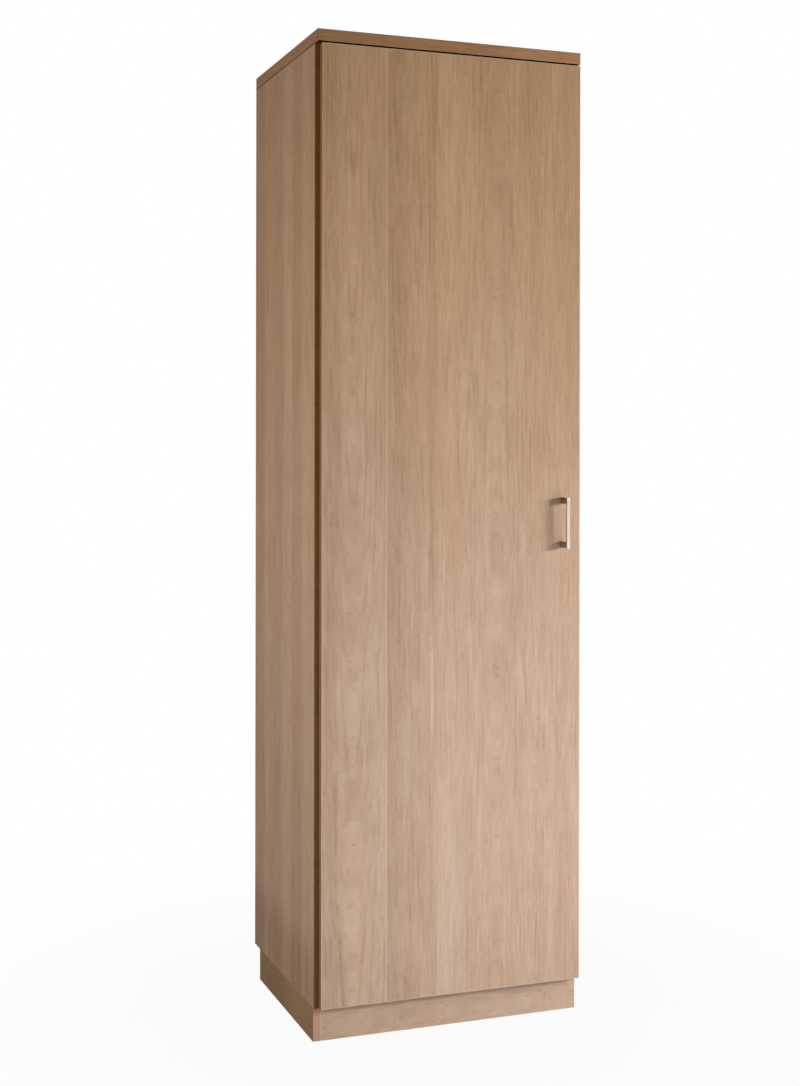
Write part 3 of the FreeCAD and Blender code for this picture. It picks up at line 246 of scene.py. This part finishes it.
BANDS = Layer(22.0, 1.4, 0.17)
STREAKS = Layer(78.0, 7.5, 0.20, shift=(0, -1))
LINES = Layer(230.0, 22.0, 0.24, around=2.0)
THREADS = Layer(150.0, 4.5, -0.16, shift=(-1, 0), crest=(0.12, 0.42))
PORES = Layer(420.0, 60.0, -0.16, around=3.0, shift=(0, -1), crest=(0.12, 0.45))
TICKS = Layer(1300.0, 95.0, -0.27, around=6.0, crest=(0.25, 0.5))
WORN = Layer(34.0, 3.0, shift=(-1, 0), crest=(-0.15, 0.35))
BLUSHES = Layer(14.0, 1.0, shift=(1, 0), crest=(-0.5, 0.5))
BAND_PULL = 0.35  # how much the bands follow the rings, and not the sheet's width

RING_STEP = 9 * MM  # from one growth ring to the next
RING_DRIFT = 1.2  # radians that the bands push the rings along
RING_CREST = (0.62, 1.0)  # the part of each ring's wave that is drawn
RING_SHARE = -0.17
CORE_REACH = (8 * MM, 26 * MM)  # the light wood beside a heart, whole and faded out
CORE_WAVES = 2.2  # stretches of that wood to a metre along the grain
CORE_CREST = (-0.2, 0.3)
TURN_ASIDE, TURN_DEEP = 6.0, 9.0  # how fast the noise changes round the log, to a metre
EDGE = -1.0  # a plank's start, past the edge of any sheet
SHARP = 0.5 * MM  # how softly all but the tone changes from plank to plank
FLECK_RIM = (0.3, 1.0)  # a fleck's rim, in squares of its half size
MIDDLE = 0.62  # the lighter colour's share in a bare sheet

LAMINATE_ROUGHNESS = (0.54, 0.62)
LAMINATE_GLOSS = 0.08
GRAIN_DEPTH = 0.08 * MM
LINE_HEIGHT = 0.5  # the lines' height in the bump, beside the pores and ticks

BLUSH = srgb(255, 249, 243)
TOP_SHADE_TINT = (1.09, 0.975, 0.80, 1.0)  # painted shade: every laminate is drawn warmer and a little darker towards the top
TOP_SHADE_REACH = (0.5, TOP_HIGH[2])  # the heights where that starts and ends


class Wood(Paint):
    """A printed wood: the growth rings of logs, as the planks of one sheet cut them."""

    def __init__(self, name, grain_axis, face_axis, seed, planks):
        super().__init__(name)
        deep_axis = next(axis for axis in "xyz" if axis not in (grain_axis, face_axis))
        self.along = getattr(self, grain_axis)
        self.across = getattr(self, face_axis)
        self.deep = getattr(self, deep_axis)
        self.seed = seed
        self.planks = planks
        wander = self.drift((0.8, 1.5, 2.0), 10 * MM)
        sway = self.drift((2.6, 8.0, 8.0), 9 * MM, detail=3.5)
        cut = self.of_plank("log.cut") + self.along * self.of_plank("log.slope") + wander
        self.aside = self.across - self.of_plank("log.heart") + sway
        self.ring = (self.aside * self.aside + cut * cut) ** 0.5
        self.turn = self.aside * TURN_ASIDE + self.deep * TURN_DEEP

    def of_plank(self, key):
        """Each plank's own number, as one value over the whole sheet."""
        read = attrgetter(key)
        value = read(self.planks[0])
        for before, after in zip(self.planks, self.planks[1:]):
            blur = after.blur if key == "tone" else SHARP
            step = self.mapped(self.across, after.start - blur, after.start + blur)
            value = step * (read(after) - read(before)) + value
        return value

    def drift(self, waves, reach, detail=2.0):
        """A slow shift of the log, with its waves to a metre along, across and into the sheet."""
        along, across, deep = waves
        spot = (self.along * along + self.seed, self.across * across, self.deep * deep)
        return self.noise(*spot, detail=detail) * reach

    def layer(self, kind, ring=None):
        """One layer of the grain, along the growth rings or a value given in their place."""
        ring = self.ring if ring is None else ring
        ring_shift, along_shift = (count * self.seed for count in kind.shift)
        noise = self.noise(
            ring * kind.rings + ring_shift,
            self.along * kind.along + along_shift,
            self.turn * kind.around,
        )
        return self.mapped(noise, *kind.crest) if kind.crest else noise

    def growth_rings(self, bands):
        """The dark line at the end of each year's growth, worn away in places."""
        wave = (self.ring * (math.tau / RING_STEP) + bands * RING_DRIFT).maths("SINE")
        return self.mapped(wave, *RING_CREST) * self.layer(WORN)

    def cores(self):
        """1 in stretches along the hearts of the logs, and 0 away from them."""
        beside = self.mapped(self.aside.maths("ABSOLUTE"), *CORE_REACH, 1.0, 0.0)
        stretches = self.noise(self.along * CORE_WAVES + self.seed, self.seed, 0.0)
        return beside * self.mapped(stretches, *CORE_CREST)

    def flecks(self, marks):
        """The tone that some flecks add, each eased out at its rim."""
        total = 0.0
        for mark in marks:
            wide = (self.across - mark.across) * (1 / mark.half_width)
            long = (self.along - mark.along) * (1 / mark.half_length)
            total = self.mapped(wide * wide + long * long, *FLECK_RIM, mark.tone, 0.0) + total
        return total


PLAIN = [Plank(EDGE, 0.0, Log(0.03, 0.05, 0.02))]


def laminate(
    name, colours, grain_axis, face_axis, seed, planks=PLAIN, marks=(), trims=(), gloss=LAMINATE_GLOSS
):
    """Oak-look laminate, with its grain along one axis and its planks side by side on another."""
    wood = Wood(name, grain_axis, face_axis, seed, planks)
    bands = wood.layer(BANDS, wood.ring * BAND_PULL + wood.across * (1 - BAND_PULL))
    streaks, lines, threads, pores, ticks = (
        wood.layer(kind) for kind in (STREAKS, LINES, THREADS, PORES, TICKS)
    )
    share = wood.of_plank("tone") + wood.cores() * wood.of_plank("log.core")
    share = share + bands * BANDS.share + streaks * STREAKS.share + lines * LINES.share
    share = share + wood.growth_rings(bands) * RING_SHARE + threads * THREADS.share
    share = share + pores * PORES.share + MIDDLE + ticks * TICKS.share + wood.flecks(marks)
    share = share.maths("MAXIMUM", 0.0).maths("MINIMUM", 1.0)
    colour = wood.mix(share, *colours)
    colour = wood.mix(wood.layer(BLUSHES), colour, BLUSH, "MULTIPLY")
    # Painted shade: the laminate grows warmer and a little darker towards the top.
    colour = wood.mix(wood.mapped(wood.z, *TOP_SHADE_REACH), colour, TOP_SHADE_TINT, "MULTIPLY")
    for trim in trims:
        colour = wood.trimmed(colour, trim)
    return wood.surface(
        Base_Color=colour,
        Roughness=wood.mapped(lines, -1.0, 1.0, *LAMINATE_ROUGHNESS),
        Specular_IOR_Level=gloss,
        Normal=wood.bump(lines * LINE_HEIGHT - pores - ticks, GRAIN_DEPTH),
    )


def chipboard(paint):
    """The raw edge of a board: pressed chips, pale and dark."""
    chips = paint.grit(CHIP_WAVES, detail=3.0, roughness=0.65)
    specks = paint.grit(SPECK_WAVES, detail=1.0)
    base = paint.mix(paint.mapped(chips, -0.5, 0.5), *CHIPS)
    return paint.mix(paint.mapped(specks, 0.3, 0.45), base, DARK_CHIP)


def hardboard(paint):
    """The bare side of a thin pressed board: brown, with soft clouds and short fibres."""
    cloud_cut, fibre_cut = 1.7, 4.1  # where the flat board cuts through each noise
    clouds = paint.noise(paint.x * 9.0, cloud_cut, paint.z * 9.0, detail=4.0)
    fibres = paint.noise(paint.x * 380.0, fibre_cut, paint.z * 300.0, detail=3.0, roughness=0.7)
    return paint.mix(paint.mapped(clouds * 0.25 + fibres * 0.7, -0.6, 0.6), *HARDBOARD)


def edge_print(paint):
    """The print on a narrow end: short faint lines of the light wood."""
    lines = paint.grit(EDGE_WAVES, detail=3.0)
    return paint.mix(paint.mapped(lines, -2.2, 1.8), *OAK)


# Waves to a metre on x, y and z.
CHIP_WAVES = (420.0, 420.0, 260.0)
SPECK_WAVES = (900.0, 900.0, 500.0)
EDGE_WAVES = (12.0, 1.0, 160.0)

# Each print or board has its darker colour first, then its lighter.
CHIPS = (srgb(138, 108, 80), srgb(208, 180, 146))
DARK_CHIP = srgb(98, 70, 48)
HARDBOARD = (srgb(126, 93, 64), srgb(158, 123, 89))
OAK = (srgb(155, 123, 97), srgb(209, 181, 158))
OAK_EDGE = (srgb(116, 80, 54), srgb(172, 133, 102))
OAK_TOP = (srgb(127, 92, 68), srgb(188, 150, 122))
# The plinth's sides: a browner board than the side panels, drawn darker still as painted shade near
# the floor.
OAK_PLINTH_BROWN_AND_SHADE = (srgb(124, 93, 55), srgb(170, 137, 95))
# Painted shade: the left upright's edge band, drawn darker and more golden than the right one's, as it
# lies in the door's shadow.
OAK_UPRIGHT_SHADED = (srgb(138, 100, 60), srgb(188, 150, 103))
# Painted shade, for the joint under the top and the gap above the door.
PAINTED_SHADE = srgb(58, 34, 18)
# A painted highlight along the front arrises of the door's bands and the plinth's left end.
ARRIS_HIGHLIGHT = srgb(202, 176, 150)
PLINTH_END = srgb(188, 148, 120)

# The door's front is one sheet with a drawn joint left of its middle.
JOINT = -0.1465
LEFT_LOG = Log(-0.222, 0.064, -0.030, core=0.12)
MIDDLE_LOG = Log(-0.300, 0.150, 0.020)
RIGHT_LOG = Log(0.102, 0.012, 0.014)
DOOR_PLANKS = [
    Plank(EDGE, -0.06, LEFT_LOG),
    Plank(-0.254, 0.03, LEFT_LOG),
    Plank(JOINT, -0.14, MIDDLE_LOG, blur=1 * MM),
    Plank(-0.112, -0.01, MIDDLE_LOG, blur=14 * MM),
    Plank(-0.034, 0.15, RIGHT_LOG, blur=5 * MM),
    Plank(0.004, 0.05, RIGHT_LOG, blur=16 * MM),
    Plank(0.110, -0.03, RIGHT_LOG, blur=20 * MM),
    # The two planks at the right are toned darker partly as painted shade, against the key lamp's
    # stronger light on the door's right.
    Plank(0.168, -0.04, RIGHT_LOG, blur=10 * MM),
    Plank(0.245, -0.08, RIGHT_LOG, blur=12 * MM),
]
DOOR_MARKS = [
    Fleck(JOINT - 1.6 * MM, 1.0, 1.9 * MM, 9.0, 0.24),  # a light line beside the joint
    Fleck(-0.046, 0.710, 4.5 * MM, 0.120, 0.26),
    Fleck(0.041, 0.800, 5.0 * MM, 0.100, 0.16),
    Fleck(0.048, 1.362, 1.8 * MM, 0.030, -0.30),
    Fleck(0.044, 1.355, 1.6 * MM, 0.026, 0.30),
]
INNER_LOG = Log(-0.02, 0.06, 0.03)
REAR_LOG = Log(0.16, 0.07, -0.02)
SIDE_PLANKS = [
    Plank(EDGE, 0.10, Log(-0.10, 0.08, 0.03)),
    Plank(-0.120, -0.11, INNER_LOG, blur=16 * MM),
    Plank(-0.045, 0.12, INNER_LOG, blur=12 * MM),
    Plank(0.030, -0.13, INNER_LOG, blur=18 * MM),
    Plank(0.105, -0.02, REAR_LOG, blur=20 * MM),
    Plank(0.190, -0.22, REAR_LOG, blur=18 * MM),
]
BACK_PLANKS = [
    Plank(EDGE, 0.0, Log(-0.16, 0.09, 0.03, core=0.10)),
    Plank(-0.090, 0.07, Log(0.02, 0.04, 0.05), blur=10 * MM),
    Plank(0.120, -0.06, Log(0.22, 0.08, -0.03, core=0.08), blur=14 * MM),
]
LEVEL_PLANKS = [
    Plank(EDGE, 0.0, Log(-0.12, 0.06, 0.02)),
    Plank(0.02, 0.05, Log(0.14, 0.05, 0.02)),
]

# Wide faint marks: painted shade near the floor on the side panels and at the plinth's rear, and a
# lighter patch at the top's right.
SIDE_FOOT_SHADE = [Fleck(0.25, 0.02, 1.2, 0.24, -0.38)]
# Painted shade towards the plinth's rear.
PLINTH_REAR_SHADE = [Fleck(0.03, 0.30, 1.0, 0.36, -0.42)]
TOP_MARKS = [Fleck(TOP_HIGH[2], TOP_HIGH[0], 1.0, 0.22, 0.24)]

# Bare rear edges, painted shade in the joint under the top and in the gap above the door, painted
# highlights on the arrises, and the ends of the plinth's sides.
rear_edges = Trim(chipboard, [Plane("y", TOP_HIGH[1], 0.5 * MM)])
bare_back = Trim(hardboard, [Plane("y", BOX["back_panel"][1][1], 1 * MM)])
# Painted shade along the side panels' top, in the joint under the top.
painted_joint_shade = Trim(PAINTED_SHADE, [Plane("z", TOP_LOW[2], 3 * MM)])
# Painted shade on the top's underside, in the gap above the door.
painted_gap_shade = Trim(PAINTED_SHADE, [Plane("z", TOP_LOW[2], 0.3 * MM), Plane("y", TOP_LOW[1], 24 * MM)])
# Painted highlights on the arrises.
door_arris_highlight = Trim(ARRIS_HIGHLIGHT, [Plane("y", DOOR_FRONT, 2 * MM)])
plinth_arris_highlight = Trim(ARRIS_HIGHLIGHT, [Plane("x", BOX["plinth_front"][0][0], 2 * MM)])
plinth_front_end = Plane("y", PLINTH_CORNER[1], 1 * MM)
left_end = Trim(PLINTH_END, [Plane("x", PLINTH_CORNER[0], 30 * MM), plinth_front_end])
right_end = Trim(edge_print, [Plane("x", -PLINTH_CORNER[0], 30 * MM), plinth_front_end])

door_face = laminate("door_laminate", OAK, "z", "x", 3.1, DOOR_PLANKS, DOOR_MARKS)
door_edge = laminate("door_edge_band", OAK_EDGE, "z", "y", 9.2, trims=[door_arris_highlight])
side_face = laminate(
    "side_laminate", OAK, "z", "y", 11.7, SIDE_PLANKS, SIDE_FOOT_SHADE, [painted_joint_shade, rear_edges]
)
back_face = laminate("back_print", OAK, "z", "x", 14.9, BACK_PLANKS, trims=[bare_back])
level_face = laminate("level_laminate", OAK, "x", "y", 7.3, LEVEL_PLANKS, trims=[rear_edges])
top_face = laminate(
    "top_laminate", OAK, "x", "y", 7.3, LEVEL_PLANKS, trims=[rear_edges, painted_gap_shade], gloss=0.0
)
top_front = laminate(
    "top_front_band", OAK_TOP, "x", "z", 2.2, marks=TOP_MARKS, trims=[painted_gap_shade], gloss=0.0
)
top_side = laminate("top_side_band", OAK_TOP, "y", "z", 4.6)
# Painted shade: the left upright's band is darker than the right one's.
shaded_upright_band = laminate("shaded_upright_band", OAK_UPRIGHT_SHADED, "z", "y", 6.5)
inner_band = laminate("inner_band", OAK, "z", "y", 6.5)
plinth_front = laminate("plinth_laminate", OAK, "x", "z", 5.9, trims=[plinth_arris_highlight])
plinth_side = laminate(
    "plinth_side_laminate", OAK_PLINTH_BROWN_AND_SHADE, "y", "z", 8.4, marks=PLINTH_REAR_SHADE, trims=[left_end, right_end]
)

dress(door_face, "door_panel")
dress(door_edge, "door_band_left", "door_band_right", "door_band_low", "door_band_high")
dress(side_face, "side_panel_left", "side_panel_right")
dress(back_face, "back_panel")
dress(level_face, "bottom_panel", "shelf")
dress(top_face, "top_panel")
dress(top_front, "top_band_front", "bottom_band", "shelf_band")
dress(top_side, "top_band_left", "top_band_right")
dress(shaded_upright_band, "side_band_left")
dress(inner_band, "side_band_right")
dress(plinth_front, "plinth_front", "plinth_rear")
dress(plinth_side, "plinth_side_left", "plinth_side_right", "plinth_blocks", "dowels")

# ---------------------------------------------------------------- metal and plastic

CLOUD_WAVES = (60.0, 60.0, 60.0)
RUB_WAVES = (400.0, 400.0, 30.0)  # fine rubbing marks, drawn out along z
RUB_SHARE = 0.6  # how much they change the gloss, beside the clouds


def metal(name, colour, low, high, depth=0.01 * MM):
    """Plated metal, with a slightly uneven gloss between two roughnesses."""
    paint = Paint(name)
    cloud = paint.grit(CLOUD_WAVES, detail=3.0)
    rub = paint.grit(RUB_WAVES)
    roughness = paint.mapped(cloud + rub * RUB_SHARE, -1.0, 1.0, low, high)
    normal = paint.bump(rub, depth)
    return paint.surface(Base_Color=colour, Metallic=1.0, Roughness=roughness, Normal=normal)


polished = metal("polished_handle", srgb(203, 191, 184), 0.14, 0.19, depth=0.002 * MM)
nickel = metal("nickel_plate", srgb(186, 182, 174), 0.4, 0.52)
zinc = metal("zinc_plate", srgb(180, 182, 186), 0.4, 0.52)
diecast = metal("diecast_zinc", srgb(150, 150, 148), 0.42, 0.6)
clear = Paint("clear_bumper").surface(
    Base_Color=srgb(228, 228, 222), Roughness=0.25, Transmission_Weight=0.7, IOR=1.45
)

dress(polished, "handle")
dress(nickel, *(name for name in NODES if name.startswith("hinge_")))
dress(zinc, "hinge_cup_screws", "hinge_plate_screws", "hinge_arm_screws", "handle_screws", "cam_bolts")
dress(diecast, "cam_locks")
dress(clear, "door_bumpers")

# ---------------------------------------------------------------- studio

WHITE = (1.0, 1.0, 1.0, 1.0)
FLOOR_GREY = (0.18, 0.18, 0.18, 1.0)
FLOOR_WIDTH = 60.0
SHADOW_REACH = (0.3, 1.5)  # the floor fades into plain white between these radii
SHADOW_WHITE = (0.95, 1.0)  # the share of white at each of them

DAY = (0.97, 0.99, 0.99)
COOL = (0.93, 1.0, 1.1)
WARM = (1.0, 0.95, 0.88)
AMBER = (1.0, 0.85, 0.7)


def pale_floor():
    """A white sheet that keeps the cupboard's shadow near it and runs out into plain white."""
    material = bpy.data.materials.new("pale_floor")
    material.use_nodes = True
    nodes = Nodes(material.node_tree)
    spot = nodes.node("ShaderNodeTexCoord", output="Object")
    reach = nodes.node("ShaderNodeVectorMath", {"operation": "LENGTH"}, {0: spot}, output="Value")
    share = nodes.seen() * nodes.mapped(reach, *SHADOW_REACH, *SHADOW_WHITE)
    sheet = nodes.node("ShaderNodeBsdfDiffuse", {}, {"Color": FLOOR_GREY})
    white = nodes.node("ShaderNodeEmission", {}, {"Color": WHITE})
    blend = nodes.node("ShaderNodeMixShader", {}, {0: share, 1: sheet, 2: white})
    nodes.node("ShaderNodeOutputMaterial", {}, {"Surface": blend})
    bpy.ops.mesh.primitive_plane_add(size=FLOOR_WIDTH)
    floor = bpy.context.object
    floor.name = "floor"
    floor.data.materials.append(material)


def soft_surround(strength, colour):
    """Even light of one strength and colour from all round, seen as plain white."""
    world = bpy.data.worlds.new("studio")
    world.use_nodes = True
    bpy.context.scene.world = world
    nodes = Nodes(world.node_tree)
    air = (*(strength * part for part in colour), 1.0)
    light = nodes.mix(nodes.seen(), air, WHITE)
    glow = nodes.node("ShaderNodeBackground", {}, {"Color": light})
    nodes.node("ShaderNodeOutputWorld", {}, {"Surface": glow})


def softbox(name, place, aim, size, watts, colour, spread=180, glints=True):
    """A rectangular studio lamp, its light kept within a spread in degrees."""
    lamp = bpy.data.lights.new(name, "AREA")
    lamp.shape = "RECTANGLE"
    lamp.size, lamp.size_y = size
    lamp.energy = watts
    lamp.color = colour
    lamp.spread = math.radians(spread)
    holder = bpy.data.objects.new(name, lamp)
    holder.location = place
    holder.visible_camera = False
    holder.visible_glossy = glints
    holder.rotation_euler = (Vector(aim) - Vector(place)).to_track_quat("-Z", "Y").to_euler()
    bpy.context.scene.collection.objects.link(holder)


# A key from the front right, cool lamps low in front, a warm one at the left side, which leaves
# no glints on the metal, and two behind for the back and the top.
pale_floor()
soft_surround(0.1, AMBER)
softbox("key", (2.3, -2.25, 1.44), (0.1, -0.2, 0.95), (1.1, 0.3), 71.5, DAY)
softbox("front_low", (0.9, -2.4, 0.45), (0.1, -0.2, 0.2), (2.2, 0.8), 4.9, COOL)
softbox("foot", (0.9, -1.6, 0.35), (0.1, -0.25, 0.35), (1.6, 0.35), 7.0, COOL, spread=110)
softbox(
    "side", (-2.55, -0.55, 1.0), (-0.3, -0.05, 1.0), (0.4, 0.8), 14.6, WARM, spread=130, glints=False
)
softbox("rear", (0.5, 2.4, 3.3), (0.0, 0.25, 1.5), (1.4, 1.0), 80.0, DAY)
softbox("rear_low", (0.4, 2.6, 0.8), (0.0, 0.25, 0.6), (1.2, 0.8), 14.0, DAY)

# ---------------------------------------------------------------- camera

# In pixels: the frame, the focal length, and the point that the lens faces.
FRAME_WIDE, FRAME_HIGH = 800, 1086
FOCAL_PIXELS = 1642.4
CENTRE_X, CENTRE_Y = 435.6, 449.1
SENSOR = 36.0  # millimetres
EYE = (-1.2771, -3.4865, 1.2347)
YAW, PITCH, ROLL = 0.36376, 0.00088, 0.00154  # radians
view = bpy.data.cameras.new("camera")
view.sensor_width = SENSOR
view.lens = FOCAL_PIXELS * SENSOR / FRAME_HIGH
view.shift_x = (FRAME_WIDE / 2 - CENTRE_X) / FRAME_HIGH
view.shift_y = (CENTRE_Y - FRAME_HIGH / 2) / FRAME_HIGH
camera = bpy.data.objects.new("camera", view)
camera.location = EYE
camera.rotation_euler = Euler((math.pi / 2 - PITCH, -ROLL, -YAW))
bpy.context.scene.collection.objects.link(camera)
bpy.context.scene.camera = camera
bpy.context.scene.view_settings.view_transform = "Standard"
